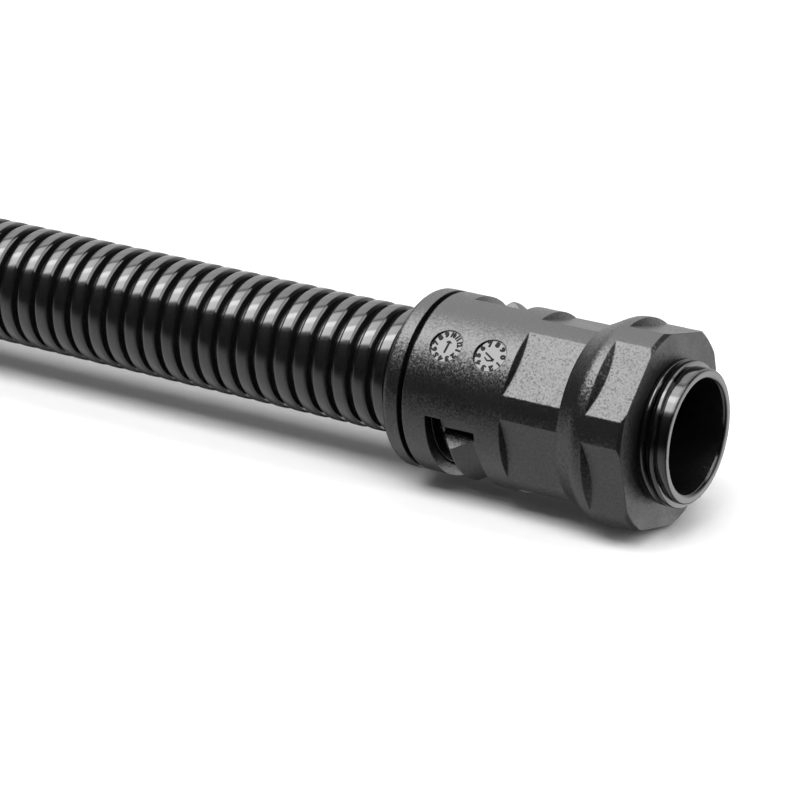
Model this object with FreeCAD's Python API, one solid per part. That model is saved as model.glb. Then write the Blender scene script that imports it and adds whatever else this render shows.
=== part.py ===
"""Corrugated conduit with its straight snap-in fitting, in millimetres.

The axis of everything is the X axis, and +X points out of the threaded end.
The origin is the centre of the flange's sealing face, where the spigot starts.
The fitting rests on the round rim of its flange, with the flats turned
15 degrees from level, as in the photo.
Angles round the axis are counted from +Z towards -Y.
"""

import FreeCAD
import Part
import math
import os

from FreeCAD import Vector

# Conduit: thin-walled corrugated tube, cut at a groove
CONDUIT_LENGTH = 1000.0
CONDUIT_END_X = -13.62
WAVE_PITCH = 3.39
CREST_DIA = 18.5
CONDUIT_BORE_DIA = 14.3
CONDUIT_WALL = 0.45
CREST_WIDTH = 1.95
FLANK_RUN = 0.2

# Fitting body: rear barrel, six flats, flared hexagon flange, threaded spigot
HEX_SIDES = 6
FLAT_ANGLE = 45.0
BARREL_DIA = 26.0
BARREL_REAR_X = -35.95
BARREL_EDGE_RADIUS = 0.4
BARREL_FLAT_DEPTH = 1.0
BARREL_FLAT_REAR_X = -19.9
BARREL_STEP_RUN = 0.55
FLARE_REAR_X = -10.85
FLARE_ANGLE = 28.0
FLARE_CROWN_SHARE = 1.73
FLANGE_DIA = 29.7
FLANGE_FLAT_DEPTH = 1.15
FLANGE_FLAT_REAR_X = -5.9
FLANGE_STEP_RUN = 0.95
FLANGE_CHAMFER = 0.5
SPIGOT_LENGTH = 4.25
SPIGOT_CORE_DIA = 19.0
SPIGOT_LIP_RADIUS = 0.35
BORE_DIA = 16.1
BORE_LIP_RADIUS = 0.6

# Windows through the barrel, one for each latch finger
WINDOW_ANGLES = (-45.0, 135.0)
WINDOW_SPAN = 88.0
WINDOW_REAR_X = -31.95
WINDOW_FRONT_X = -23.65

# Round date dials sunk into the barrel between the windows
DIAL_ANGLE = 45.0
DIAL_CENTRES_X = (-30.85, -23.75)
DIAL_DIA = 5.0
DIAL_DEPTH = 0.4

# Snap ring: flange behind the barrel, sleeve inside it, and two latch fingers,
# each rooted at the sleeve's front end with an opening behind its free end
RING_FLANGE_THICKNESS = 2.75
RING_FLANGE_GAP = 0.65
RING_EDGE_RADIUS = 1.0
RING_WALL = 1.7
RING_LEAD_BEVEL = 0.6
FINGER_WIDTH = 10.2
FINGER_SLOT_WIDTH = 1.1
FINGER_REAR_X = -30.3
FINGER_ROOT_LENGTH = 1.2
SLEEVE_FRONT_X = -24.0
BARB_REAR_X = -30.2
BARB_CREST_X = -28.35
BARB_FRONT_X = -25.4
BARB_HEIGHT = 1.85
BARB_CREST_RADIUS = 0.4
CLAW_GROOVE = 4
CLAW_WIDTH = 0.9
CLAW_TIP_WIDTH = 0.6

# Clearances between the pieces
CONDUIT_CLEARANCE = 0.25
RING_CLEARANCE = 0.2
CLAW_CLEARANCE = 0.25
END_CLEARANCE = 0.12
SLEEVE_END_CLEARANCE = 1.35

# Helpers of the construction: how far cutters reach past a face, and how close
# two places count as the same
OVERCUT = 1.0
SAME_PLACE = 0.01

# Places that follow from the sizes above
CREST_RADIUS = CREST_DIA / 2
GROOVE_RADIUS = CONDUIT_BORE_DIA / 2 + CONDUIT_WALL
GROOVE_WIDTH = WAVE_PITCH - CREST_WIDTH - 2 * FLANK_RUN
STOP_X = CONDUIT_END_X + END_CLEARANCE
WAVE_COUNT = round(CONDUIT_LENGTH / WAVE_PITCH)
GUIDE_RADIUS = CREST_RADIUS + CONDUIT_CLEARANCE
SLEEVE_RADIUS = GUIDE_RADIUS + RING_WALL
SOCKET_RADIUS = SLEEVE_RADIUS + RING_CLEARANCE
SOCKET_FRONT_X = SLEEVE_FRONT_X + SLEEVE_END_CLEARANCE
FINGER_SLOT_FRONT_X = SLEEVE_FRONT_X - FINGER_ROOT_LENGTH
RING_FRONT_X = BARREL_REAR_X - RING_FLANGE_GAP
RING_REAR_X = RING_FRONT_X - RING_FLANGE_THICKNESS


def profile_wire(points):
    """Closed wire through (x, radius) points in the plane Y = 0."""
    corners = [Vector(x, 0, radius) for x, radius in points]
    return Part.makePolygon(corners + corners[:1])


def turned(points):
    """Solid turned about the X axis from a closed outline of (x, radius)."""
    face = Part.Face(profile_wire(points))
    return face.revolve(Vector(0, 0, 0), Vector(1, 0, 0), 360)


def turned_by(shape, angle):
    """Copy of a shape turned about the X axis from +Z towards -Y."""
    copy = shape.copy()
    copy.rotate(Vector(0, 0, 0), Vector(1, 0, 0), angle)
    return copy


def drum(rear_x, front_x, radius):
    """Plain cylinder on the X axis."""
    return Part.makeCylinder(radius, front_x - rear_x, Vector(rear_x, 0, 0), Vector(1, 0, 0))


def sector(rear_x, front_x, inner, outer, centre, span):
    """Slice of a tube between two radii, centred on an angle."""
    points = [(rear_x, inner), (front_x, inner), (front_x, outer), (rear_x, outer)]
    face = Part.Face(profile_wire(points))
    solid = face.revolve(Vector(0, 0, 0), Vector(1, 0, 0), span)
    return turned_by(solid, centre - span / 2)


def is_at(edge, x):
    """Whether an edge lies in the plane at this place on the X axis."""
    return abs(edge.BoundBox.XMin - x) + abs(edge.BoundBox.XMax - x) < SAME_PLACE


def is_ring(edge, x, radius):
    """Whether an edge is the circle round the X axis with this place and radius."""
    return is_at(edge, x) and abs(edge.BoundBox.ZMax - radius) < SAME_PLACE


def outside_flat(rear_x, front_x, height, reach, angle):
    """Block that trims a round bar to one flat at a height above the axis."""
    block = Part.makeBox(front_x - rear_x, 2 * reach, reach, Vector(rear_x, -reach, height))
    return turned_by(block, angle)


def hexagon_flats(shape, rear_x, front_x, dia, depth):
    """Cut the six flats of a hexagon to a depth into a round bar."""
    for side in range(HEX_SIDES):
        angle = FLAT_ANGLE + side * 360.0 / HEX_SIDES
        shape = shape.cut(outside_flat(rear_x, front_x, dia / 2 - depth, dia, angle))
    return shape


def step_wall(rear_x, run, dia, depth):
    """Cone that slopes the back wall of the flats down from the round."""
    return turned([(rear_x, 0), (rear_x, dia / 2), (rear_x + run, dia / 2 - depth), (rear_x + run, 0)])


def wave_outline(offset):
    """Zigzag of one skin of the tube, from the seated end back to the far end."""
    crest = CREST_RADIUS - offset
    groove = GROOVE_RADIUS - offset
    points = [(CONDUIT_END_X, groove)]
    for wave in range(WAVE_COUNT):
        front = CONDUIT_END_X - wave * WAVE_PITCH - GROOVE_WIDTH / 2
        rear = front - 2 * FLANK_RUN - CREST_WIDTH
        points += [(front, groove), (front - FLANK_RUN, crest)]
        points += [(rear + FLANK_RUN, crest), (rear, groove)]
    points.append((CONDUIT_END_X - WAVE_COUNT * WAVE_PITCH, groove))
    return points


def corrugated_tube():
    """The conduit: two parallel wave skins, turned as one thin wall."""
    outer = wave_outline(0.0)
    inner = wave_outline(CONDUIT_WALL)
    return turned(outer + inner[::-1])


def flare_crown():
    """Three points of the arc that rounds the flare's cone into the flange."""
    slope = math.radians(FLARE_ANGLE)
    high = FLANGE_DIA / 2
    rise = high - BARREL_DIA / 2
    crown = FLARE_CROWN_SHARE * rise
    drop = crown * (1 - math.cos(slope))
    start_x = FLARE_REAR_X + (rise - drop) / math.tan(slope)
    end_x = start_x + crown * math.sin(slope)
    middle_x = end_x - crown * math.sin(slope / 2)
    middle = high - crown * (1 - math.cos(slope / 2))
    return Vector(start_x, 0, high - drop), Vector(middle_x, 0, middle), Vector(end_x, 0, high)


def flange_blank():
    """Flare, round flange and front chamfer as one turned solid."""
    start, middle, end = flare_crown()
    edge = FLANGE_DIA / 2 - FLANGE_CHAMFER
    corners = [end, Vector(-FLANGE_CHAMFER, 0, FLANGE_DIA / 2), Vector(0, 0, edge), Vector(0, 0, 0)]
    corners += [Vector(FLARE_REAR_X, 0, 0), Vector(FLARE_REAR_X, 0, BARREL_DIA / 2), start]
    edges = [Part.Arc(start, middle, end).toShape()]
    edges += [Part.makeLine(first, second) for first, second in zip(corners, corners[1:])]
    face = Part.Face(Part.Wire(edges))
    return face.revolve(Vector(0, 0, 0), Vector(1, 0, 0), 360)


def flange():
    """Flared flange with its six flats and their sloped back wall."""
    shape = hexagon_flats(flange_blank(), FLANGE_FLAT_REAR_X, OVERCUT, FLANGE_DIA, FLANGE_FLAT_DEPTH)
    return shape.fuse(step_wall(FLANGE_FLAT_REAR_X, FLANGE_STEP_RUN, FLANGE_DIA, FLANGE_FLAT_DEPTH))


def spigot_blank():
    """Plain core of the spigot's thread, bored, with its front lip rounded on both edges."""
    spigot = drum(-OVERCUT, SPIGOT_LENGTH, SPIGOT_CORE_DIA / 2)
    spigot = spigot.cut(drum(-2 * OVERCUT, SPIGOT_LENGTH + OVERCUT, BORE_DIA / 2))
    for dia, radius in ((SPIGOT_CORE_DIA, SPIGOT_LIP_RADIUS), (BORE_DIA, BORE_LIP_RADIUS)):
        rim = [edge for edge in spigot.Edges if is_ring(edge, SPIGOT_LENGTH, dia / 2)]
        spigot = spigot.makeFillet(radius, rim)
    return spigot


def fitting_core():
    """Everything that the fitting body is hollowed by: bore, seat and socket."""
    bore = BORE_DIA / 2
    return turned([
        (BARREL_REAR_X - OVERCUT, 0),
        (BARREL_REAR_X - OVERCUT, SOCKET_RADIUS),
        (SOCKET_FRONT_X, SOCKET_RADIUS),
        (SOCKET_FRONT_X, GUIDE_RADIUS),
        (STOP_X, GUIDE_RADIUS),
        (STOP_X, bore),
        (SPIGOT_LENGTH + OVERCUT, bore),
        (SPIGOT_LENGTH + OVERCUT, 0),
    ])


def barrel_blank():
    """Rear barrel with its rounded back edge and its six flats."""
    barrel = drum(BARREL_REAR_X, FLARE_REAR_X, BARREL_DIA / 2)
    rim = [edge for edge in barrel.Edges if is_ring(edge, BARREL_REAR_X, BARREL_DIA / 2)]
    barrel = barrel.makeFillet(BARREL_EDGE_RADIUS, rim)
    barrel = hexagon_flats(barrel, BARREL_FLAT_REAR_X, FLARE_REAR_X + OVERCUT, BARREL_DIA, BARREL_FLAT_DEPTH)
    return barrel.fuse(step_wall(BARREL_FLAT_REAR_X, BARREL_STEP_RUN, BARREL_DIA, BARREL_FLAT_DEPTH))


def dial_recess(centre_x):
    """Round flat-bottomed recess for one date dial."""
    floor = BARREL_DIA / 2 - DIAL_DEPTH
    recess = Part.makeCylinder(DIAL_DIA / 2, BARREL_DIA / 2, Vector(centre_x, 0, floor), Vector(0, 0, 1))
    return turned_by(recess, DIAL_ANGLE)


def fitting_body():
    """The moulded body: barrel, flats, flare, flange, spigot, windows and dials."""
    body = barrel_blank().fuse(flange()).fuse(spigot_blank())
    body = body.cut(fitting_core())
    for angle in WINDOW_ANGLES:
        window = sector(WINDOW_REAR_X, WINDOW_FRONT_X, GUIDE_RADIUS, FLANGE_DIA, angle, WINDOW_SPAN)
        body = body.cut(window)
    for centre_x in DIAL_CENTRES_X:
        body = body.cut(dial_recess(centre_x))
    return body.removeSplitter()


def claw_radius():
    """How far in the claws reach, just off the bottom of the groove."""
    return GROOVE_RADIUS + CLAW_CLEARANCE


def across_finger(points, angle):
    """Turned rib that is trimmed to the parallel sides of one finger."""
    width = Part.makeBox(
        SLEEVE_FRONT_X - FINGER_REAR_X,
        FINGER_WIDTH,
        BARREL_DIA,
        Vector(FINGER_REAR_X, -FINGER_WIDTH / 2, 0),
    )
    return turned(points).common(turned_by(width, angle))


def barb(angle):
    """Snap barb on the outside of one finger, with a rounded crest."""
    root = SLEEVE_RADIUS - RING_WALL / 2
    rib = across_finger([
        (BARB_REAR_X, root),
        (BARB_REAR_X, SLEEVE_RADIUS),
        (BARB_CREST_X, SLEEVE_RADIUS + BARB_HEIGHT),
        (BARB_FRONT_X, SLEEVE_RADIUS),
        (BARB_FRONT_X, root),
    ], angle)
    crest = [edge for edge in rib.Edges if is_at(edge, BARB_CREST_X)]
    return rib.makeFillet(BARB_CREST_RADIUS, crest)


def claw(angle):
    """Inner rib of one finger that stands in a groove of the conduit."""
    centre_x = CONDUIT_END_X - CLAW_GROOVE * WAVE_PITCH
    root = GUIDE_RADIUS + RING_WALL / 2
    return across_finger([
        (centre_x - CLAW_WIDTH / 2, root),
        (centre_x - CLAW_TIP_WIDTH / 2, claw_radius()),
        (centre_x + CLAW_TIP_WIDTH / 2, claw_radius()),
        (centre_x + CLAW_WIDTH / 2, root),
    ], angle)


def finger_cuts(angle):
    """Opening behind one finger and the two lengthways slots beside it."""
    cuts = [sector(WINDOW_REAR_X, FINGER_REAR_X, CREST_RADIUS, SOCKET_RADIUS, angle, WINDOW_SPAN)]
    rear_x = (WINDOW_REAR_X + FINGER_REAR_X) / 2
    for edge_y in (-FINGER_WIDTH / 2 - FINGER_SLOT_WIDTH, FINGER_WIDTH / 2):
        corner = Vector(rear_x, edge_y, 0)
        slot = Part.makeBox(FINGER_SLOT_FRONT_X - rear_x, FINGER_SLOT_WIDTH, SOCKET_RADIUS, corner)
        cuts.append(turned_by(slot, angle))
    return cuts


def snap_ring():
    """Locking ring: rounded flange, slotted sleeve, two barbed fingers with claws."""
    rim = drum(RING_REAR_X, RING_FRONT_X, BARREL_DIA / 2)
    rear = [edge for edge in rim.Edges if is_ring(edge, RING_REAR_X, BARREL_DIA / 2)]
    rim = rim.makeFillet(RING_EDGE_RADIUS, rear)
    ring = rim.fuse(drum(RING_REAR_X + RING_EDGE_RADIUS, SLEEVE_FRONT_X, SLEEVE_RADIUS))
    ring = ring.cut(turned([
        (RING_REAR_X - OVERCUT, 0),
        (RING_REAR_X - OVERCUT, GUIDE_RADIUS + RING_LEAD_BEVEL + OVERCUT),
        (RING_REAR_X + RING_LEAD_BEVEL, GUIDE_RADIUS),
        (SLEEVE_FRONT_X + OVERCUT, GUIDE_RADIUS),
        (SLEEVE_FRONT_X + OVERCUT, 0),
    ]))
    for angle in WINDOW_ANGLES:
        for cut in finger_cuts(angle):
            ring = ring.cut(cut)
    for angle in WINDOW_ANGLES:
        ring = ring.fuse(barb(angle)).fuse(claw(angle))
    return ring.removeSplitter()


def main():
    """Build each piece and write it to its own file."""
    os.makedirs("parts", exist_ok=True)
    pieces = {
        "corrugated_tube": corrugated_tube(),
        "fitting_body": fitting_body(),
        "snap_ring": snap_ring(),
    }
    for name, shape in pieces.items():
        if shape.ShapeType == "Compound" and len(shape.Solids) == 1:
            shape = shape.Solids[0]
        print(name, shape.ShapeType, shape.isValid(), round(shape.Volume, 2), len(shape.Faces))
        shape.exportStep(os.path.join("parts", name + ".step"))


main()
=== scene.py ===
"""Black corrugated conduit with its straight snap-in fitting, lying on a pale studio floor.

The solids of the fitting come from the frame and get their finishes here. This file
adds the conduit as one fine turned skin, the thread's ridges, and the marks of the two
date dials. Lengths are in millimetres until a mesh is made, because the conduit and its
thread are made to millimetre sizes. Angles round the axis run from +Z towards -Y.
"""

import logging
import math
from dataclasses import dataclass
from enum import Enum

import bpy
import numpy as np
from mathutils import Matrix, Vector


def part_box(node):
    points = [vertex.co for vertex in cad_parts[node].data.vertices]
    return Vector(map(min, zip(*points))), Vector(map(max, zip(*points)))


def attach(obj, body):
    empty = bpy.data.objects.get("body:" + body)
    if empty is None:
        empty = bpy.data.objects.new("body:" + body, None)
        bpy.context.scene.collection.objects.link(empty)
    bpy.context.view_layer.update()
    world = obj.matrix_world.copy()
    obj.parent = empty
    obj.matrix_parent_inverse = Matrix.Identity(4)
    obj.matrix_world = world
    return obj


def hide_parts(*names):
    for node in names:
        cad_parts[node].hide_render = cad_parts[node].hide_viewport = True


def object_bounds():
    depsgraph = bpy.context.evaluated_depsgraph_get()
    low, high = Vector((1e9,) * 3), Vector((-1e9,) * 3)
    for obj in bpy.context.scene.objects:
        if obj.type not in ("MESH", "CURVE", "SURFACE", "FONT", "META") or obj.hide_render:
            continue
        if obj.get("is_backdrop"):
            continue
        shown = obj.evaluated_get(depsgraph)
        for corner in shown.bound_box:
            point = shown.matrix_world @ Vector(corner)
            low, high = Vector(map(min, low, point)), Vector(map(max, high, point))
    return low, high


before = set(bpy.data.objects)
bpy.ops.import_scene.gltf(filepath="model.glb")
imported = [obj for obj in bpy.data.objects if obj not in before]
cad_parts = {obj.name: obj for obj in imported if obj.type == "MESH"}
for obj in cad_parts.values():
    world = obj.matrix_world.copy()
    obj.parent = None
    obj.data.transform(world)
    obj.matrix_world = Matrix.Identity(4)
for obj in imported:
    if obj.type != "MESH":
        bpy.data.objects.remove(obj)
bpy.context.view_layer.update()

MM = 0.001
BODY = "root"
AXIS = Vector((1.0, 0.0, 0.0))
NYLON_IOR = 1.53
DEEP_BLACK = (0.0014, 0.0014, 0.0016)
log = logging.getLogger("conduit")

Outline = list[tuple[float, float]]
Faces = list[tuple[int, ...]]
Rows = list[tuple[np.ndarray, np.ndarray]]


class Grain(Enum):
    """How a moulded skin leaves its tool."""

    POLISHED = "polished"
    SPARK_ERODED = "spark_eroded"
    MATT = "matt"


@dataclass(frozen=True)
class Ring:
    """One ring of a turned skin.

    Args:
        x: place along the axis, in millimetres.
        radius: radius in millimetres, the same all the way round.
        count: number of corners round the ring.
    """

    x: float
    radius: float
    count: int

    def corners(self) -> np.ndarray:
        """Corners of the ring in millimetres, counted from +Z towards -Y."""
        turn = np.arange(self.count) * (2 * math.pi / self.count)
        along = np.full(self.count, self.x)
        return np.stack([along, -self.radius * np.sin(turn), self.radius * np.cos(turn)], axis=1)


def bridge(first: int, first_count: int, second: int, second_count: int) -> Faces:
    """Faces between two rings, which may have different numbers of corners.

    Args:
        first: index of the first ring's first corner.
        first_count: number of corners of the first ring.
        second: index of the second ring's first corner.
        second_count: number of corners of the second ring.

    Returns:
        Quads where the counts match, and triangles where they don't.
    """
    if first_count == second_count:
        following = [(i + 1) % first_count for i in range(first_count)]
        return [(first + i, first + j, second + j, second + i) for i, j in enumerate(following)]
    faces = []
    i = j = 0
    while i < first_count or j < second_count:
        behind = i < first_count and (i + 1) * second_count <= (j + 1) * first_count
        here, there = first + i % first_count, second + j % second_count
        if j >= second_count or behind:
            faces.append((here, first + (i + 1) % first_count, there))
            i += 1
        else:
            faces.append((here, second + (j + 1) % second_count, there))
            j += 1
    return faces


def make_mesh(name: str, corners: np.ndarray, faces: Faces, crease_deg: float) -> bpy.types.Object:
    """Make a mesh object from corners in millimetres.

    Args:
        name: name of the object and its mesh.
        corners: one row of x, y, z for each corner, in millimetres.
        faces: corner indices of each face.
        crease_deg: edges that turn more than this stay sharp in shading.

    Returns:
        The object, linked to the scene.
    """
    mesh = bpy.data.meshes.new(name)
    mesh.from_pydata((corners * MM).tolist(), [], faces)
    mesh.validate()
    mesh.update()
    mesh.shade_smooth()
    mesh.set_sharp_from_angle(angle=math.radians(crease_deg))
    piece = bpy.data.objects.new(name, mesh)
    bpy.context.scene.collection.objects.link(piece)
    return piece


class NodeSheet:
    """Small helper that lays out the shader nodes of one material."""

    NOISE_RANGE = (0.3, 0.7)
    EDGE_SAMPLES = 4

    def __init__(self, name: str) -> None:
        """Start an empty material.

        Args:
            name: name of the material.
        """
        self.material = bpy.data.materials.new(name)
        self.material.use_nodes = True
        self.tree = self.material.node_tree
        self.tree.nodes.clear()
        self.output = self.tree.nodes.new("ShaderNodeOutputMaterial")
        self.shader = self.add("ShaderNodeBsdfPrincipled")
        self.join(self.shader, "BSDF", self.output, "Surface")

    def add(self, kind: str, **values: object) -> bpy.types.Node:
        """Add a node.

        Args:
            kind: Blender's name of the node type.
            **values: attributes of the node.

        Returns:
            The new node.
        """
        node = self.tree.nodes.new(kind)
        for key, value in values.items():
            setattr(node, key, value)
        return node

    def join(self, source: bpy.types.Node, out: str, target: bpy.types.Node, into: str) -> None:
        """Link an output socket to an input socket, both by name."""
        self.tree.links.new(source.outputs[out], target.inputs[into])

    def noise(
        self, scale: float, detail: float, stretch: tuple[float, float, float] = (1, 1, 1)
    ) -> bpy.types.Node:
        """Noise in the piece's own coordinates.

        Args:
            scale: noise cells to the metre.
            detail: octaves of finer noise.
            stretch: scale along each axis.

        Returns:
            The noise node.
        """
        place = self.add("ShaderNodeTexCoord")
        mapping = self.add("ShaderNodeMapping")
        mapping.inputs["Scale"].default_value = stretch
        noise = self.add("ShaderNodeTexNoise")
        noise.inputs["Scale"].default_value = scale
        noise.inputs["Detail"].default_value = detail
        self.join(place, "Object", mapping, "Vector")
        self.join(mapping, "Vector", noise, "Vector")
        return noise

    def spread(self, source: bpy.types.Node, low: float, high: float) -> bpy.types.Node:
        """Map a noise factor's usual range onto another.

        Args:
            source: node of the noise.
            low: lowest value wanted.
            high: highest value wanted.

        Returns:
            Node whose Result output has the values.
        """
        scaled = self.add("ShaderNodeMapRange")
        scaled.inputs["From Min"].default_value = self.NOISE_RANGE[0]
        scaled.inputs["From Max"].default_value = self.NOISE_RANGE[1]
        scaled.inputs["To Min"].default_value = low
        scaled.inputs["To Max"].default_value = high
        self.join(source, "Fac", scaled, "Value")
        return scaled

    def bump(self, height: bpy.types.Node, strength: float, distance: float) -> bpy.types.Node:
        """Bump from a noise factor.

        Args:
            height: node of the noise.
            strength: share of the bump that counts.
            distance: its depth in metres.

        Returns:
            Node whose Normal output has the normals.
        """
        bump = self.add("ShaderNodeBump")
        bump.inputs["Strength"].default_value = strength
        bump.inputs["Distance"].default_value = distance
        self.join(height, "Fac", bump, "Height")
        return bump

    def speckle(
        self, normal: bpy.types.NodeSocket, width: float, tilt: float
    ) -> bpy.types.NodeSocket:
        """Tilt normals at random, as the pits of a grained skin do.

        Args:
            normal: socket that gives the normals.
            width: width of a pit in metres.
            tilt: how far the normals lean, as a tangent.

        Returns:
            Socket of the tilted normals.
        """
        pits = self.noise(1.0 / width, 1.0)
        centred = self.add("ShaderNodeVectorMath", operation="SUBTRACT")
        centred.inputs[1].default_value = (0.5, 0.5, 0.5)
        self.join(pits, "Color", centred, "Vector")
        tilted = self.add("ShaderNodeVectorMath", operation="MULTIPLY_ADD")
        tilted.inputs[1].default_value = (tilt,) * 3
        self.tree.links.new(centred.outputs["Vector"], tilted.inputs[0])
        self.tree.links.new(normal, tilted.inputs[2])
        level = self.add("ShaderNodeVectorMath", operation="NORMALIZE")
        self.join(tilted, "Vector", level, "Vector")
        return level.outputs["Vector"]

    def rounded_edges(self, radius: float) -> bpy.types.NodeSocket:
        """Normals that round every edge of the piece.

        Args:
            radius: radius of the rounding, in metres.

        Returns:
            Socket of the normals.
        """
        bevel = self.add("ShaderNodeBevel", samples=self.EDGE_SAMPLES)
        bevel.inputs["Radius"].default_value = radius
        return bevel.outputs["Normal"]


@dataclass(frozen=True)
class ExtrudedNylon:
    """Glossy black skin of the conduit, with faint waviness from the corrugator.

    Args:
        name: name of the material.
        colour: base colour, linear.
        gloss: lowest and highest roughness.
        cloud: scale and detail of the noise that spreads the roughness.
        ripple: scale and detail of the waviness.
        ripple_stretch: scale of the waviness along each axis.
        ripple_bump: strength of its bump, and its depth in metres.
    """

    name: str = "conduit_gloss_black"
    colour: tuple[float, float, float] = (0.005, 0.005, 0.0053)
    gloss: tuple[float, float] = (0.05, 0.09)
    cloud: tuple[float, float] = (260.0, 3.0)
    ripple: tuple[float, float] = (700.0, 2.0)
    ripple_stretch: tuple[float, float, float] = (0.6, 1.0, 1.0)
    ripple_bump: tuple[float, float] = (0.16, 0.00006)

    def material(self) -> bpy.types.Material:
        """Lay out the nodes.

        Returns:
            The material.
        """
        sheet = NodeSheet(self.name)
        sheet.shader.inputs["Base Color"].default_value = (*self.colour, 1.0)
        sheet.shader.inputs["IOR"].default_value = NYLON_IOR
        roughness = sheet.spread(sheet.noise(*self.cloud), *self.gloss)
        sheet.join(roughness, "Result", sheet.shader, "Roughness")
        bump = sheet.bump(sheet.noise(*self.ripple, self.ripple_stretch), *self.ripple_bump)
        sheet.join(bump, "Normal", sheet.shader, "Normal")
        return sheet.material


@dataclass(frozen=True)
class MouldedNylon:
    """Skin of a moulded piece: polished, matt, or with the grain of spark erosion.

    Args:
        name: name of the material.
        grain: how the mould was finished.
        colour: base colour, linear.
        gloss: lowest and highest roughness of a polished skin.
        eroded: the same for a spark-eroded skin.
        matt: the same for a matt skin.
        cloud: scale and detail of the noise that spreads the roughness.
        fine_grain: width of the fine grain's pits in millimetres, and the tangent of their tilt.
        coarse_grain: the same for the coarse grain under it.
        edge_radius: rounding of the mould's edges, in millimetres.
    """

    name: str
    grain: Grain
    colour: tuple[float, float, float] = (0.0022, 0.0022, 0.0024)
    gloss: tuple[float, float] = (0.05, 0.09)
    eroded: tuple[float, float] = (0.32, 0.37)
    matt: tuple[float, float] = (0.45, 0.55)
    cloud: tuple[float, float] = (180.0, 3.0)
    fine_grain: tuple[float, float] = (0.3, 0.5)
    coarse_grain: tuple[float, float] = (1.1, 0.03)
    edge_radius: float = 0.22

    def roughness(self) -> tuple[float, float]:
        """Lowest and highest roughness of this skin."""
        choice = {Grain.POLISHED: self.gloss, Grain.SPARK_ERODED: self.eroded, Grain.MATT: self.matt}
        return choice[self.grain]

    def material(self) -> bpy.types.Material:
        """Lay out the nodes.

        Returns:
            The material.
        """
        sheet = NodeSheet(self.name)
        sheet.shader.inputs["Base Color"].default_value = (*self.colour, 1.0)
        sheet.shader.inputs["IOR"].default_value = NYLON_IOR
        roughness = sheet.spread(sheet.noise(*self.cloud), *self.roughness())
        sheet.join(roughness, "Result", sheet.shader, "Roughness")
        normal = sheet.rounded_edges(self.edge_radius * MM)
        if self.grain is not Grain.POLISHED:
            for width, tilt in (self.coarse_grain, self.fine_grain):
                normal = sheet.speckle(normal, width * MM, tilt)
        sheet.tree.links.new(normal, sheet.shader.inputs["Normal"])
        return sheet.material


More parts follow.
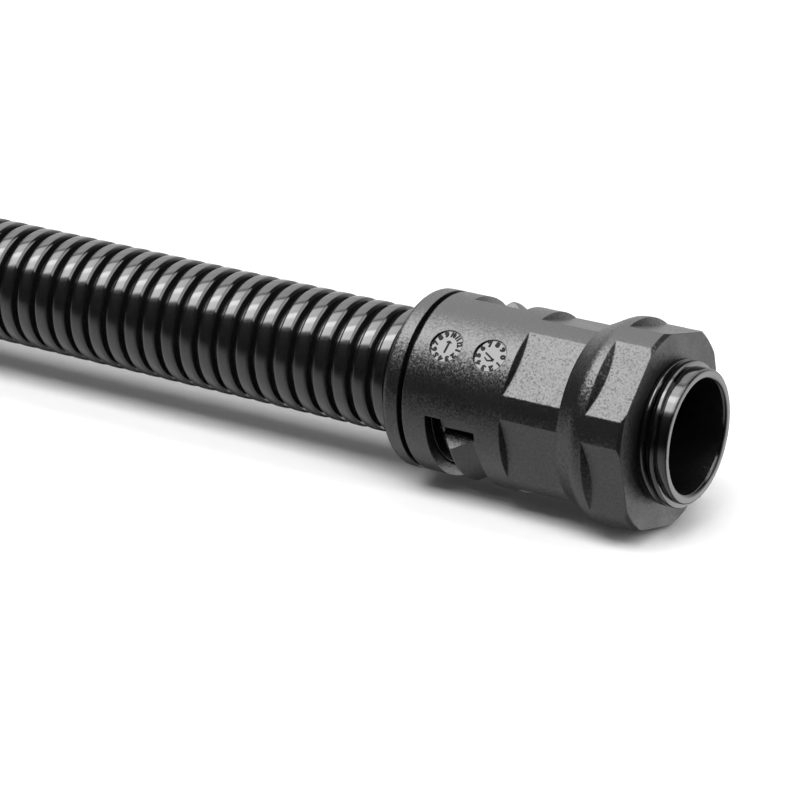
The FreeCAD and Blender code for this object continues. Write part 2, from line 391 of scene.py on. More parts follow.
@dataclass
class ConduitTube:
    """The conduit: one thin corrugated wall, closed at both ends.

    Args:
        pitch: length of one wave.
        crest_radius: outside radius at the crests.
        groove_radius: outside radius at the bottom of the grooves.
        wall: thickness of the wall.
        crest_width: length of a plain wave's crest.
        flank_run: how far a plain wave's flank leans along the axis.
        crest_round: bevel of a plain crest's edges.
        front_outline: a fine wave's front from groove to crest, as distances from the wave's
            middle and depths under the crest.
        rear_edge: where the rounding of a fine wave's rear edge starts, from the wave's middle,
            and its radius.
        rear_foot: a fine wave's rear corner in the groove, as distances behind the rounding and
            heights over the groove's bottom.
        round_steps: facets of the rounding.
        hidden_waves: waves inside the fitting.
        fine_waves: waves from the seated end up to where the fine waves stop.
        open_waves: waves whose inside shows at the far end.
        fine_count: corners round a fine wave.
        plain_count: corners round a plain wave.
        hidden_count: corners round the inside where it doesn't show.
        crease_deg: edges that turn more than this stay sharp.
        node: the solid that the skin replaces.
    """

    pitch: float = 3.39
    crest_radius: float = 9.25
    groove_radius: float = 7.6
    wall: float = 0.45
    crest_width: float = 1.95
    flank_run: float = 0.2
    crest_round: float = 0.32
    front_outline: tuple[tuple[float, float], ...] = (
        (1.42, 1.65), (1.28, 1.52), (1.27, 0.43), (1.24, 0.33),
        (1.18, 0.26), (0.93, 0.05), (0.89, 0.02), (0.82, 0.0),
    )
    rear_edge: tuple[float, float] = (0.5, 0.5)
    rear_foot: tuple[tuple[float, float], ...] = ((0.03, 0.13), (0.16, 0.0))
    round_steps: int = 5
    hidden_waves: int = 7
    fine_waves: int = 35
    open_waves: int = 12
    fine_count: int = 72
    plain_count: int = 32
    hidden_count: int = 12
    crease_deg: float = 50.0
    node: str = "corrugated_tube"

    def span(self) -> tuple[float, float]:
        """Far and seated ends of the conduit along the axis, in millimetres."""
        low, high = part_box(self.node)
        return low.x / MM, high.x / MM

    def half_groove(self) -> float:
        """Half the length of the groove's flat bottom between plain waves."""
        return (self.pitch - self.crest_width) / 2 - self.flank_run

    def fine_wave(self, groove_x: float) -> list[Ring]:
        """Outer section of a wave with a bevelled front edge and a rounded rear edge.

        Args:
            groove_x: place of the groove's middle in front of the wave.

        Returns:
            The rings of the wave, from front to rear.
        """
        middle = groove_x - self.pitch / 2
        outline = [(along, self.crest_radius - depth) for along, depth in self.front_outline]
        start, edge = self.rear_edge
        for step in range(self.round_steps, -1, -1):
            turn = math.pi / 2 * step / self.round_steps
            radius = self.crest_radius - edge + edge * math.sin(turn)
            outline.append((-start - edge * math.cos(turn), radius))
        outline += [(-start - edge - run, self.groove_radius + rise) for run, rise in self.rear_foot]
        return [Ring(middle + along, radius, self.fine_count) for along, radius in outline]

    def mirrored_wave(self, groove_x: float, front: Outline, count: int) -> list[Ring]:
        """Section of a wave whose rear is the mirror image of its front.

        Args:
            groove_x: place of the groove's middle in front of the wave.
            front: its front half, as distances behind the groove's middle and radii.
            count: corners of each ring.

        Returns:
            The rings of the wave, from front to rear.
        """
        rear = [(self.pitch - run, radius) for run, radius in reversed(front)]
        return [Ring(groove_x - run, radius, count) for run, radius in front + rear]

    def plain_wave(self, groove_x: float) -> list[Ring]:
        """Outer section of a wave further from the fitting, with bevelled crest edges.

        Args:
            groove_x: place of the groove's middle in front of the wave.

        Returns:
            The rings of the wave, from front to rear.
        """
        foot, edge = self.half_groove(), self.crest_round
        top = foot + self.flank_run
        front = [
            (foot, self.groove_radius),
            (top, self.crest_radius - edge),
            (top + edge, self.crest_radius),
        ]
        return self.mirrored_wave(groove_x, front, self.plain_count)

    def inner_wave(self, groove_x: float, count: int) -> list[Ring]:
        """Inner section of a wave, the wall's thickness inside the outer one.

        Args:
            groove_x: place of the groove's middle in front of the wave.
            count: corners of each ring.

        Returns:
            The rings of the wave, from front to rear.
        """
        foot = self.half_groove() + self.wall / 2
        front = [
            (foot, self.groove_radius - self.wall),
            (foot + self.flank_run, self.crest_radius - self.wall),
        ]
        return self.mirrored_wave(groove_x, front, count)

    def rings(self) -> list[Ring]:
        """Rings of the whole wall.

        Returns:
            The rings outside from the seated end to the far end, and those inside back again.
        """
        far_x, seated_x = self.span()
        waves = round((seated_x - far_x) / self.pitch)
        inner_radius = self.groove_radius - self.wall
        outer = [Ring(seated_x, self.groove_radius, self.plain_count)]
        inner = [Ring(seated_x, inner_radius, self.hidden_count)]
        for wave in range(waves):
            groove_x = seated_x - wave * self.pitch
            fine = self.hidden_waves <= wave < self.fine_waves
            outer += self.fine_wave(groove_x) if fine else self.plain_wave(groove_x)
            shows = wave >= waves - self.open_waves
            inner += self.inner_wave(groove_x, self.plain_count if shows else self.hidden_count)
        outer.append(Ring(far_x, self.groove_radius, self.plain_count))
        inner.append(Ring(far_x, inner_radius, self.plain_count))
        return outer + inner[::-1]

    def build(self) -> bpy.types.Object:
        """Build the conduit's skin and set it in the place of its solid.

        Returns:
            The skin.
        """
        rings = self.rings()
        corners = np.concatenate([ring.corners() for ring in rings])
        starts = np.cumsum([0] + [ring.count for ring in rings]).tolist()
        faces: Faces = []
        for index, ring in enumerate(rings):
            following = (index + 1) % len(rings)
            faces += bridge(starts[index], ring.count, starts[following], rings[following].count)
        piece = make_mesh("conduit_skin", corners, faces, self.crease_deg)
        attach(piece, BODY)
        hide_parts(self.node)
        log.info("conduit: %d rings, %d faces", len(rings), len(faces))
        return piece

    def dress(self, piece: bpy.types.Object) -> None:
        """Give the conduit its glossy black skin."""
        piece.data.materials.append(ExtrudedNylon().material())


@dataclass
class SpigotThread:
    """The moulded thread on the spigot's core: one ridge that winds out and widens.

    Args:
        core_radius: radius of the spigot's core.
        crest_radius: radius over the ridge.
        buried_radius: inside radius of the sleeve, inside the spigot's core.
        first_turn: angles in degrees, and the ridge's rear and front edge there, on its first turn.
        second_turn: the same for its second, wider turn.
        seam: angle where the first turn becomes the second, in degrees.
        run_out: how many degrees the ridge takes to end before the seam.
        rear_flank: how far the rear flank leans along the axis.
        front_flanks: the same for the front flank of each turn.
        edge: bevel of the crest's edges.
        rear_x: where the sleeve that carries the thread starts, just inside the flange.
        front_x: where it ends.
        steps_round: corners round the sleeve.
        edge_radius: rounding of the ridge's edges in the finish.
        crease_deg: edges that turn more than this stay sharp.
    """

    core_radius: float = 9.52
    crest_radius: float = 10.2
    buried_radius: float = 9.2
    first_turn: tuple[tuple[float, float, float], ...] = (
        (-110.0, -0.3, 0.1), (0.0, 0.0, 0.7), (20.0, 0.04, 0.74), (40.0, 0.1, 0.8),
        (60.0, 0.25, 0.8), (80.0, 0.4, 0.86), (100.0, 0.42, 1.1), (110.0, 0.54, 1.34),
        (120.0, 0.72, 1.6), (140.0, 0.9, 1.8), (250.0, 1.2, 2.0),
    )
    second_turn: tuple[tuple[float, float, float], ...] = (
        (-110.0, 1.2, 2.0), (0.0, 1.36, 2.2), (20.0, 1.4, 2.25), (40.0, 1.46, 2.32),
        (60.0, 1.7, 2.55), (80.0, 1.9, 2.65), (100.0, 1.84, 2.72), (110.0, 2.0, 2.95),
        (120.0, 2.05, 3.2), (140.0, 2.2, 3.3), (250.0, 2.5, 3.3),
    )
    seam: float = 250.0
    run_out: float = 70.0
    rear_flank: float = 0.16
    front_flanks: tuple[float, float] = (0.42, 0.1)
    edge: float = 0.07
    rear_x: float = -0.05
    front_x: float = 3.85
    steps_round: int = 240
    edge_radius: float = 0.06
    crease_deg: float = 35.0

    def ridge(
        self,
        turn: np.ndarray,
        stops: tuple[tuple[float, float, float], ...],
        height: np.ndarray,
        flank: float,
    ) -> Rows:
        """Outline of one ridge at every angle.

        Args:
            turn: angles round the axis, in degrees.
            stops: angles, and the crest's rear and front edge there, in millimetres.
            height: height of the crest above the core at every angle.
            flank: how far the front flank leans along the axis.

        Returns:
            Pairs of places along the axis and radii, from rear to front.
        """
        angles, rears, fronts = (np.array(column) for column in zip(*stops))
        rear, front = np.interp(turn, angles, rears), np.interp(turn, angles, fronts)
        core = np.full_like(turn, self.core_radius)
        shoulder = core + np.maximum(height - self.edge, 0.0)
        return [
            (rear - self.rear_flank, core),
            (rear - self.edge / 2, shoulder),
            (rear + self.edge, core + height),
            (front - self.edge, core + height),
            (front + self.edge / 2, shoulder),
            (front + flank, core),
        ]

    def rows(self, turn: np.ndarray) -> Rows:
        """Outline of the whole sleeve at every angle.

        Args:
            turn: angles round the axis, in degrees, from seam - 360 to seam.

        Returns:
            Pairs of places along the axis and radii: outside from rear to front, and back inside.
        """
        full = np.full_like(turn, self.crest_radius - self.core_radius)
        left = np.clip((self.seam - turn) / self.run_out, 0.0, 1.0)
        first = self.ridge(turn, self.first_turn, full, self.front_flanks[0])
        second = self.ridge(turn, self.second_turn, full * left, self.front_flanks[1])
        ridges = [
            (np.maximum(x, self.rear_x), np.where(x < self.rear_x, self.core_radius, radius))
            for x, radius in first + second
        ]
        rear, front, core, buried = (
            np.full_like(turn, value)
            for value in (self.rear_x, self.front_x, self.core_radius, self.buried_radius)
        )
        return [(rear, core), *ridges, (front, core), (front, buried), (rear, buried)]

    def build(self) -> bpy.types.Object:
        """Build the sleeve, closed inside the spigot's core.

        Returns:
            The sleeve with its ridges.
        """
        count = self.steps_round
        turn = self.seam - 360.0 + np.arange(count) * (360.0 / count)
        sine, cosine = np.sin(np.radians(turn)), np.cos(np.radians(turn))
        rows = self.rows(turn)
        corners = [np.stack([x, -radius * sine, radius * cosine], axis=-1) for x, radius in rows]
        faces: Faces = []
        for row in range(len(rows)):
            following = (row + 1) % len(rows)
            quads = bridge(row * count, count, following * count, count)
            faces += [tuple(reversed(quad)) for quad in quads]
        piece = make_mesh("spigot_thread", np.concatenate(corners), faces, self.crease_deg)
        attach(piece, BODY)
        log.info("thread: %d faces", len(faces))
        return piece

    def dress(self, piece: bpy.types.Object) -> None:
        """Give the thread the polished skin of the spigot."""
        skin = MouldedNylon(
            "spigot_gloss_black", Grain.POLISHED, colour=DEEP_BLACK, edge_radius=self.edge_radius
        )
        piece.data.materials.append(skin.material())


@dataclass
class DateDial:
    """Polished round insert mark with raised numbers round its rim and a pointer.

    Args:
        centre_x: place of the dial's centre along the axis.
        numbers: the numbers round its rim, clockwise from the first.
        zero_deg: angle of the number 0 on the dial's face, clockwise from its top.
        pointer: strokes of the pointer, each from one point to another, with the stroke's width.
        turn_deg: angle of the dial round the axis.
        radius: radius of the polished face.
        face_height: distance of the face from the axis.
        plate_depth: thickness of the face's disc.
        rim_count: corners round the face.
        relief: height of the numbers above the face.
        stroke_foot: how far the strokes reach down into the disc.
        number_radius: distance of the numbers from the dial's centre.
        number_size: height of the numbers.
        number_spread: how much wider than its own shape a number of one or two digits is.
        number_weight: how far the numbers' strokes are thickened.
        crease_deg: edges that turn more than this stay sharp.
    """

    centre_x: float
    numbers: range
    zero_deg: float
    pointer: tuple[tuple[float, float, float, float, float], ...]
    turn_deg: float = 45.0
    radius: float = 2.42
    face_height: float = 12.66
    plate_depth: float = 0.1
    rim_count: int = 48
    relief: float = 0.07
    stroke_foot: float = 0.02
    number_radius: float = 1.88
    number_size: float = 1.05
    number_spread: tuple[float, float] = (1.2, 0.8)
    number_weight: float = 0.065
    crease_deg: float = 30.0

    def to_frame(self) -> Matrix:
        """Matrix from the dial's own plane, in metres, to the frame."""
        turn = Matrix.Rotation(math.radians(self.turn_deg), 4, "X")
        return turn @ Matrix.Translation((self.centre_x * MM, 0, self.face_height * MM))

    def prism(self, name: str, outline: np.ndarray, top: float, bottom: float) -> bpy.types.Object:
        """Flat piece on the dial, with upright sides.

        Args:
            name: name of the piece.
            outline: x and y of its corners, anticlockwise from above.
            top: height of its top.
            bottom: height of its underside.

        Returns:
            The piece, in the dial's own plane.
        """
        count = len(outline)
        upper, lower = (
            np.column_stack([outline, np.full(count, height)]) for height in (top, bottom)
        )
        faces: Faces = [tuple(range(count)), tuple(range(2 * count - 1, count - 1, -1))]
        for i in range(count):
            j = (i + 1) % count
            faces.append((i, count + i, count + j, j))
        return make_mesh(name, np.concatenate([upper, lower]), faces, self.crease_deg)

    def plate(self) -> bpy.types.Object:
        """Polished disc that fills the recess's floor.

        Returns:
            The disc, in the dial's own plane.
        """
        rim = np.arange(self.rim_count) * (2 * math.pi / self.rim_count)
        outline = self.radius * np.column_stack([np.cos(rim), np.sin(rim)])
        return self.prism("date_dial_face", outline, 0.0, -self.plate_depth)

    def stroke(self, start: Vector, end: Vector, width: float) -> bpy.types.Object:
        """Raised stroke of the pointer.

        Args:
            start: where the middle of the stroke starts, on the dial's face.
            end: where it ends.
            width: width of the stroke.

        Returns:
            The stroke, in the dial's own plane.
        """
        side = (end - start).normalized().orthogonal() * (width / 2)
        outline = np.array([start - side, end - side, end + side, start + side])
        return self.prism("date_dial_pointer", outline, self.relief, -self.stroke_foot)

    def number(self, value: int) -> bpy.types.Object:
        """One raised number, standing outward on the rim.

        Args:
            value: the number.

        Returns:
            The number, in the dial's own plane.
        """
        curve = bpy.data.curves.new(f"date_dial_number_{value}", "FONT")
        curve.body = str(value)
        curve.size = self.number_size * MM
        curve.align_x = "CENTER"
        curve.align_y = "CENTER"
        curve.extrude = self.relief * MM
        curve.offset = self.number_weight * MM
        curve.resolution_u = 2
        text = bpy.data.objects.new(curve.name, curve)
        mesh = bpy.data.meshes.new_from_object(text)
        bpy.data.objects.remove(text)
        piece = bpy.data.objects.new(curve.name, mesh)
        bpy.context.scene.collection.objects.link(piece)
        two_digits = value > 9
        spread = Matrix.Diagonal((self.number_spread[two_digits], 1.0, 1.0, 1.0))
        angle = math.radians(self.zero_deg) + 2 * math.pi * value / len(self.numbers)
        out = Matrix.Translation((0, self.number_radius * MM, 0))
        mesh.transform(Matrix.Rotation(-angle, 4, "Z") @ out @ spread)
        return piece

    def build(self, face: bpy.types.Material, mark: bpy.types.Material) -> None:
        """Build the dial and give it its two finishes.

        Args:
            face: finish of the polished face.
            mark: dull skin of the numbers and the pointer, rough like the real marks; its low
                specular level paints the shade that engraved marks hold.
        """
        strokes = [
            self.stroke(Vector((x0, y0)), Vector((x1, y1)), width)
            for x0, y0, x1, y1, width in self.pointer
        ]
        pieces = [self.plate(), *strokes]
        pieces += [self.number(value) for value in self.numbers]
        for piece in pieces:
            piece.data.transform(self.to_frame())
            piece.data.materials.clear()
            piece.data.materials.append(face if piece is pieces[0] else mark)
            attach(piece, BODY)
        log.info("date dial at %.2f mm: %d pieces", self.centre_x, len(pieces))


@dataclass
class FittingFinish:
    """Finishes of the solids that stay as they are: the fitting's body and its snap ring.

    Args:
        nodes: the two solids.
        spigot_x: place in front of which the body is polished, in millimetres.
        face_x: the flange's front face, which is matt, lies between minus and plus this place.
        dials: the two date dials.
        mark_grey: base colour of the dials' numbers.
        mark_gloss: lowest and highest roughness of the numbers.
        mark_level: specular level of the numbers, kept low as painted shade: it darkens them as the
            shade in engraved numbers does.
        mark_cloud: scale and detail of the noise that spreads their roughness.
    """

    nodes: tuple[str, ...] = ("fitting_body", "snap_ring")
    spigot_x: float = 0.02
    face_x: float = 0.01
    dials: tuple[DateDial, ...] = (
        DateDial(
            -30.85, range(1, 13), 67.0,
            (
                (-0.04, -0.97, 0.1, 0.8, 0.26),
                (-0.32, 0.66, 0.13, 0.86, 0.2),
                (0.13, 0.86, 0.45, 0.6, 0.2),
            ),
        ),
        DateDial(
            -23.75, range(10), 83.0,
            (
                (-0.92, 0.38, 0.55, -0.43, 0.26),
                (0.3, -0.42, 0.68, -0.52, 0.42),
                (0.5, -0.6, -0.28, -0.74, 0.2),
                (-0.28, -0.74, -0.8, -0.34, 0.2),
            ),
        ),
    )
    mark_grey: float = 0.003
    mark_gloss: tuple[float, float] = (0.5, 0.7)
    mark_level: float = 0.12
    mark_cloud: tuple[float, float] = (900.0, 2.0)

    def mark_material(self) -> bpy.types.Material:
        """Dull black skin of the dials' raised numbers, partly their rough finish and partly painted
        shade: a low specular level darkens them as shade darkens engraved numbers.

        Returns:
            The material.
        """
        sheet = NodeSheet("date_dial_mark_painted_shade")
        sheet.shader.inputs["Base Color"].default_value = (self.mark_grey,) * 3 + (1.0,)
        # Low specular level: painted shade that darkens the numbers and the pointer as the shade of
        # engraving would.
        sheet.shader.inputs["Specular IOR Level"].default_value = self.mark_level
        roughness = sheet.spread(sheet.noise(*self.mark_cloud), *self.mark_gloss)
        sheet.join(roughness, "Result", sheet.shader, "Roughness")
        return sheet.material

    def grain_at(self, x: float) -> Grain:
        """Finish of a face of the body or the ring.

        Args:
            x: place of the face's middle along the axis, in millimetres.

        Returns:
            The grain of the mould there.
        """
        if x > self.spigot_x:
            return Grain.POLISHED
        return Grain.MATT if abs(x) < self.face_x else Grain.SPARK_ERODED

    def dress(self) -> None:
        """Give the body and the ring their skins, and the body its two dials."""
        polished = MouldedNylon("moulded_polished", Grain.POLISHED, colour=DEEP_BLACK).material()
        skins = {
            Grain.SPARK_ERODED: MouldedNylon("moulded_spark_grain", Grain.SPARK_ERODED).material(),
            Grain.POLISHED: polished,
            Grain.MATT: MouldedNylon("moulded_matt", Grain.MATT).material(),
        }
        slots = list(skins)
        for node in self.nodes:
            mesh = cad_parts[node].data
            mesh.materials.clear()
            for skin in skins.values():
                mesh.materials.append(skin)
            for face in mesh.polygons:
                face.material_index = slots.index(self.grain_at(face.center.x / MM))
            log.info("dressed %s", node)
        # Numbers and pointer get a dull skin whose low specular level is painted shade.
        plain = self.mark_material()
        for dial in self.dials:
            dial.build(polished, plain)


class RoomSheet:
    """Shader nodes of the room's light, which depends only on the direction in the frame."""

    SIDE_SOFT_DEG = 5.0
    END_SOFT = 0.06

    def __init__(self, tree: bpy.types.NodeTree) -> None:
        """Empty a node tree and start it with the direction and its angle.

        Args:
            tree: the world's node tree.
        """
        self.tree = tree
        self.tree.nodes.clear()
        self.direction = self.node("ShaderNodeTexCoord").outputs["Generated"]
        near, up = self.along(Vector((0, -1, 0))), self.along(Vector((0, 0, 1)))
        self.angle = self.math("ARCTAN2", near, up)

    def node(self, kind: str, **values: object) -> bpy.types.Node:
        """Add a node.

        Args:
            kind: Blender's name of the node type.
            **values: attributes of the node.

        Returns:
            The new node.
        """
        node = self.tree.nodes.new(kind)
        for key, value in values.items():
            setattr(node, key, value)
        return node

    def math(self, operation: str, *inputs: object) -> bpy.types.NodeSocket:
        """Add a maths node.

        Args:
            operation: Blender's name of the operation.
            *inputs: sockets or plain numbers.

        Returns:
            The node's output socket.
        """
        node = self.node("ShaderNodeMath", operation=operation)
        for socket, value in zip(node.inputs, inputs):
            if isinstance(value, bpy.types.NodeSocket):
                self.tree.links.new(value, socket)
            else:
                socket.default_value = value
        return node.outputs[0]

    def without(self, share: bpy.types.NodeSocket) -> bpy.types.NodeSocket:
        """What a share leaves of one."""
        return self.math("SUBTRACT", 1.0, share)

    def along(self, axis: Vector) -> bpy.types.NodeSocket:
        """Part of the direction that lies along an axis.

        Args:
            axis: the axis, of length 1.

        Returns:
            Socket of that part, from -1 to 1.
        """
        dot = self.node("ShaderNodeVectorMath", operation="DOT_PRODUCT")
        dot.inputs[1].default_value = axis
        self.tree.links.new(self.direction, dot.inputs[0])
        return dot.outputs["Value"]

    def round_axis(self, stops: tuple[tuple[float, float], ...]) -> bpy.types.NodeSocket:
        """Light as a function of the angle round the X axis.

        Args:
            stops: pairs of an angle from -180 to 180 degrees, from +Z towards -Y, and the light.

        Returns:
            The light's socket.
        """
        share = self.math("MULTIPLY_ADD", self.angle, 0.5 / math.pi, 0.5)
        ramp = self.node("ShaderNodeValToRGB")
        self.tree.links.new(share, ramp.inputs["Fac"])
        peak = max(value for _, value in stops)
        elements = ramp.color_ramp.elements
        elements[0].position, elements[1].position = 0.0, 1.0
        for degrees, _ in stops[1:-1]:
            elements.new((degrees + 180) / 360)
        for element, (_, value) in zip(elements, stops):
            element.color = (value / peak,) * 3 + (1.0,)
        return self.math("MULTIPLY", ramp.outputs["Color"], peak)

    def fade(self, value: bpy.types.NodeSocket, start: float, end: float) -> bpy.types.NodeSocket:
        """Smooth step between two values of a socket.

        Args:
            value: the socket.
            start: value where the step is 0.
            end: value where it is 1.

        Returns:
            Socket of the step.
        """
        step = self.node("ShaderNodeMapRange", interpolation_type="SMOOTHSTEP")
        step.inputs["From Min"].default_value = start
        step.inputs["From Max"].default_value = end
        self.tree.links.new(value, step.inputs["Value"])
        return step.outputs["Result"]

    def sector(self, sides: tuple[float, float]) -> bpy.types.NodeSocket:
        """Part of the room between two angles round the axis, with soft sides.

        Args:
            sides: the two angles, in degrees from +Z towards -Y.

        Returns:
            Socket that is 1 inside and 0 outside.
        """
        low, high, soft = (math.radians(value) for value in (*sides, self.SIDE_SOFT_DEG))
        rise, fall = self.fade(self.angle, low, low + soft), self.fade(self.angle, high, high - soft)
        return self.math("MULTIPLY", rise, fall)

    def patch(
        self, sides: tuple[float, float], ends: tuple[float, float]
    ) -> bpy.types.NodeSocket:
        """Soft-edged lit patch of the room.

        Args:
            sides: angles of its two long sides round the axis, in degrees from +Z towards -Y.
            ends: X parts of the direction at its two ends.

        Returns:
            Socket that is 1 inside and 0 outside.
        """
        along = self.along(AXIS)
        near = self.fade(along, ends[0], ends[0] + self.END_SOFT)
        far = self.fade(along, ends[1], ends[1] - self.END_SOFT)
        return self.math("MULTIPLY", self.sector(sides), self.math("MULTIPLY", near, far))

    def show(self, light: bpy.types.NodeSocket) -> None:
        """Send the light out, with a plain white backdrop behind the floor.

        Args:
            light: socket of the room's light.
        """
        seen = self.node("ShaderNodeLightPath").outputs["Is Camera Ray"]
        rest = self.math("MULTIPLY", light, self.without(seen))
        background = self.node("ShaderNodeBackground")
        self.tree.links.new(self.math("ADD", rest, seen), background.inputs["Strength"])
        output = self.node("ShaderNodeOutputWorld")
        self.tree.links.new(background.outputs["Background"], output.inputs["Surface"])


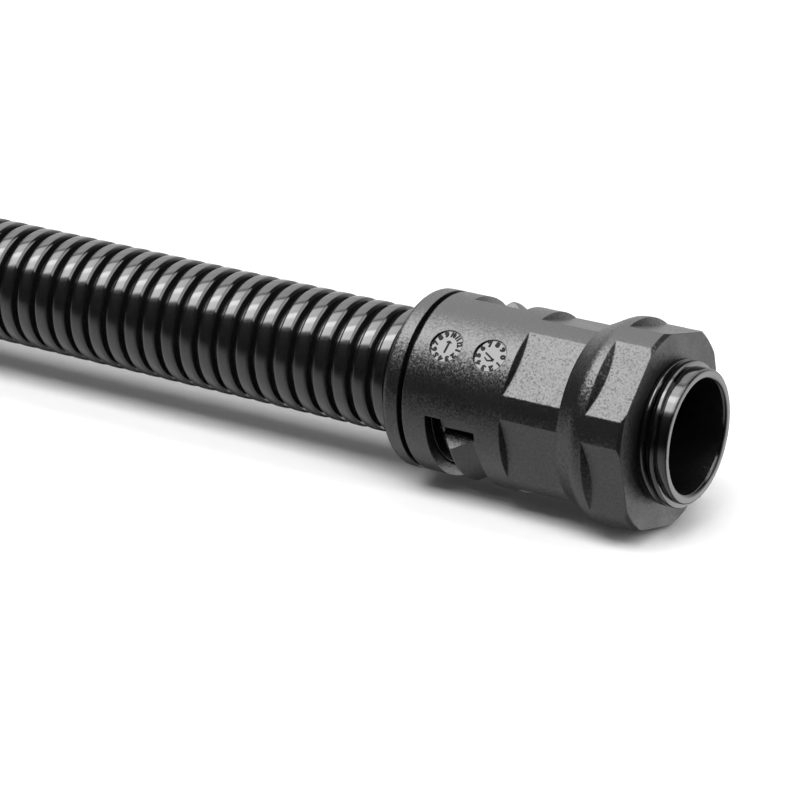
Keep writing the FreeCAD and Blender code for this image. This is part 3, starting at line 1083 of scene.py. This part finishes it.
@dataclass
class Studio:
    """Floor, light and camera, all placed from the photograph's camera.

    Args:
        azimuth: camera's azimuth, in degrees.
        elevation: camera's elevation, in degrees.
        aim: point of the middle of the picture, in millimetres.
        distance: from that point to the camera, in millimetres.
        lens: focal length for the sensor's width.
        sensor: width of the sensor.
        clip: nearest and furthest distance that the camera sees, in metres.
        floor_size: length and width of the floor, in metres.
        floor_grey: floor's colour.
        floor_roughness: floor's roughness.
        room: pairs of an angle round the axis, in degrees from +Z towards -Y, and the light
            from there.
        front_room: the same for the room in front of the threaded end.
        front_fade: X part of the direction where the room starts and ends its change to the
            front one.
        floor_sides: angles round the axis between which the room isn't floor.
        floor_shift: how much further in front the change comes on the floor.
        rear_shade: angles round the axis between which the room gets darker towards the rear.
        rear_fade: X part of the direction where that starts, and where it ends.
        second_sides: angles of the second patch's sides, counted the same way.
        second_ends: X parts of the direction at its ends.
        second_radiance: its light.
        lamp_away: distance from the axis to the floor's lamps, in metres.
        lamp_length: the lamps' length along the axis, in metres.
        lamp_forward: how far their middle is in front of the sealing face, in metres.
        key_lamp: angle of the key lamp round the axis, how many degrees it spans, and its light.
        back_lamp: the same for the lamp behind.
        sky_height: height of the wide dim lamp overhead, in metres.
        sky_size: its length and width, in metres.
        sky_radiance: its light.
    """

    azimuth: float = 32.86
    elevation: float = 21.08
    aim: tuple[float, float, float] = (-31.657, -19.726, 4.3207)
    distance: float = 450.5
    lens: float = 147.78
    sensor: float = 36.0
    clip: tuple[float, float] = (0.01, 100.0)
    floor_size: tuple[float, float] = (8.0, 8.0)
    floor_grey: float = 0.8
    floor_roughness: float = 0.6
    room: tuple[tuple[float, float], ...] = (
        (-180.0, 1.2), (-169.0, 0.67), (-161.0, 0.37), (-153.0, 0.15), (-137.0, 0.04),
        (-124.0, 0.1), (-112.0, 0.8), (-85.0, 1.3), (-66.0, 1.6), (-57.0, 2.3), (-41.0, 2.9),
        (-25.0, 4.2), (-17.0, 1.9), (-12.0, 8.0), (-1.0, 9.8), (6.0, 9.3), (10.0, 18.5),
        (17.0, 18.5), (21.0, 13.6), (34.0, 12.6), (39.0, 2.1), (46.0, 0.32), (60.0, 0.12),
        (86.0, 0.04), (96.0, 0.13), (104.0, 0.68), (111.0, 1.15), (126.0, 1.45), (160.0, 1.43),
        (180.0, 1.2),
    )
    front_room: tuple[tuple[float, float], ...] = (
        (-180.0, 0.1), (-155.0, 0.2), (-135.0, 2.9), (-112.0, 3.1), (-88.0, 1.5),
        (-60.0, 0.12), (0.0, 0.05), (140.0, 0.05), (180.0, 0.1),
    )
    front_fade: tuple[float, float] = (0.0, 0.4)
    floor_sides: tuple[float, float] = (-150.0, 97.0)
    floor_shift: float = 0.45
    rear_shade: tuple[float, float] = (-60.0, 80.0)
    rear_fade: tuple[float, float] = (-0.58, -0.85)
    second_sides: tuple[float, float] = (-30.0, 38.0)
    second_ends: tuple[float, float] = (0.44, 0.8)
    second_radiance: float = 6.0
    lamp_away: float = 1.5
    lamp_length: float = 6.0
    lamp_forward: float = 2.1
    key_lamp: tuple[float, float, float] = (29.5, 26.0, 6.4)
    back_lamp: tuple[float, float, float] = (-11.6, 19.0, 3.03)
    sky_height: float = 2.0
    sky_size: tuple[float, float] = (10.0, 10.0)
    sky_radiance: float = 0.42

    def axes(self) -> Matrix:
        """Camera's axes in the frame.

        Returns:
            Matrix with the columns right, up and towards the camera.
        """
        azimuth, elevation = math.radians(self.azimuth), math.radians(self.elevation)
        level = Vector((math.sin(azimuth), -math.cos(azimuth), 0.0))
        back = level * math.cos(elevation) + Vector((0.0, 0.0, math.sin(elevation)))
        right = Vector((math.cos(azimuth), math.sin(azimuth), 0.0))
        return Matrix((right, back.cross(right), back)).transposed()

    def camera(self) -> None:
        """Make the camera of the photograph."""
        lens = bpy.data.cameras.new("camera")
        lens.lens = self.lens
        lens.sensor_width = self.sensor
        lens.clip_start, lens.clip_end = self.clip
        camera = bpy.data.objects.new("camera", lens)
        axes = self.axes()
        stand = (Vector(self.aim) + axes.col[2] * self.distance) * MM
        camera.matrix_world = Matrix.Translation(stand) @ axes.to_4x4()
        bpy.context.scene.collection.objects.link(camera)
        bpy.context.scene.camera = camera

    def floor(self) -> None:
        """Make the pale floor under the lowest point of the object."""
        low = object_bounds()[0].z / MM
        length, width = (size / 2 / MM for size in self.floor_size)
        signs = ((-1, -1), (1, -1), (1, 1), (-1, 1))
        corners = np.array([(length * x, width * y, low) for x, y in signs])
        floor = make_mesh("studio_floor", corners, [(0, 1, 2, 3)], 0.0)
        sheet = NodeSheet("floor_pale")
        sheet.shader.inputs["Base Color"].default_value = (self.floor_grey,) * 3 + (1.0,)
        sheet.shader.inputs["Roughness"].default_value = self.floor_roughness
        sheet.shader.inputs["Specular IOR Level"].default_value = 0.0
        floor.data.materials.append(sheet.material)
        floor.visible_glossy = False
        floor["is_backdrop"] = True

    def world(self) -> None:
        """Room whose light, strips of values round the axis, shows in the glossy skins."""
        world = bpy.data.worlds.new("studio")
        world.use_nodes = True
        world.cycles_visibility.diffuse = False
        bpy.context.scene.world = world
        sheet = RoomSheet(world.node_tree)
        along = sheet.along(AXIS)
        floor = sheet.without(sheet.sector(self.floor_sides))
        shifted = sheet.math("MULTIPLY_ADD", floor, -self.floor_shift, along)
        front = sheet.fade(shifted, *self.front_fade)
        rear = sheet.fade(along, *self.rear_fade)
        shade = sheet.math("MULTIPLY", rear, sheet.sector(self.rear_shade))
        room = sheet.math("MULTIPLY", sheet.round_axis(self.room), sheet.without(shade))
        room = sheet.math("MULTIPLY", room, sheet.without(front))
        room = sheet.math("MULTIPLY_ADD", front, sheet.round_axis(self.front_room), room)
        second = sheet.patch(self.second_sides, self.second_ends)
        sheet.show(sheet.math("MULTIPLY_ADD", second, self.second_radiance, room))

    def lamp(self, name: str, place: Vector, size: tuple[float, float], radiance: float) -> None:
        """Make a flat lamp that faces the axis and lights only matt surfaces.

        Args:
            name: name of the lamp.
            place: middle of the lamp, in metres.
            size: the lamp's length along the axis and its width, in metres.
            radiance: light from its face.
        """
        light = bpy.data.lights.new(name, "AREA")
        light.shape = "RECTANGLE"
        light.size, light.size_y = size
        light.energy = radiance * math.pi * size[0] * size[1]
        lamp = bpy.data.objects.new(name, light)
        back = Vector((0.0, place.y, place.z)).normalized()
        axes = Matrix((AXIS, back.cross(AXIS), back)).transposed()
        lamp.matrix_world = Matrix.Translation(place) @ axes.to_4x4()
        lamp.visible_glossy = False
        lamp.visible_camera = False
        bpy.context.scene.collection.objects.link(lamp)

    def lamps(self) -> None:
        """Make the key lamp in front and above, the lamp behind, and the dim wide one overhead."""
        for name, lamp in (("key_lamp", self.key_lamp), ("back_lamp", self.back_lamp)):
            turn_deg, span_deg, radiance = lamp
            turn = math.radians(turn_deg)
            width = 2 * self.lamp_away * math.tan(math.radians(span_deg / 2))
            place = Vector((0.0, -math.sin(turn), math.cos(turn))) * self.lamp_away
            place.x = self.lamp_forward
            self.lamp(name, place, (self.lamp_length, width), radiance)
        overhead = Vector((0.0, 0.0, self.sky_height))
        self.lamp("sky_lamp", overhead, self.sky_size, self.sky_radiance)

    def build(self) -> None:
        """Set up floor, light and camera."""
        self.camera()
        self.floor()
        self.world()
        self.lamps()
        bpy.context.scene.view_settings.view_transform = "Standard"
        log.info("studio: camera, floor, room and three lamps")


def main() -> None:
    """Build the pieces in order, dress them and light them."""
    logging.basicConfig(level=logging.INFO, format="%(name)s: %(message)s")
    conduit = ConduitTube()
    conduit.dress(conduit.build())
    thread = SpigotThread()
    thread.dress(thread.build())
    FittingFinish().dress()
    Studio().build()


if __name__ == "__main__":
    main()
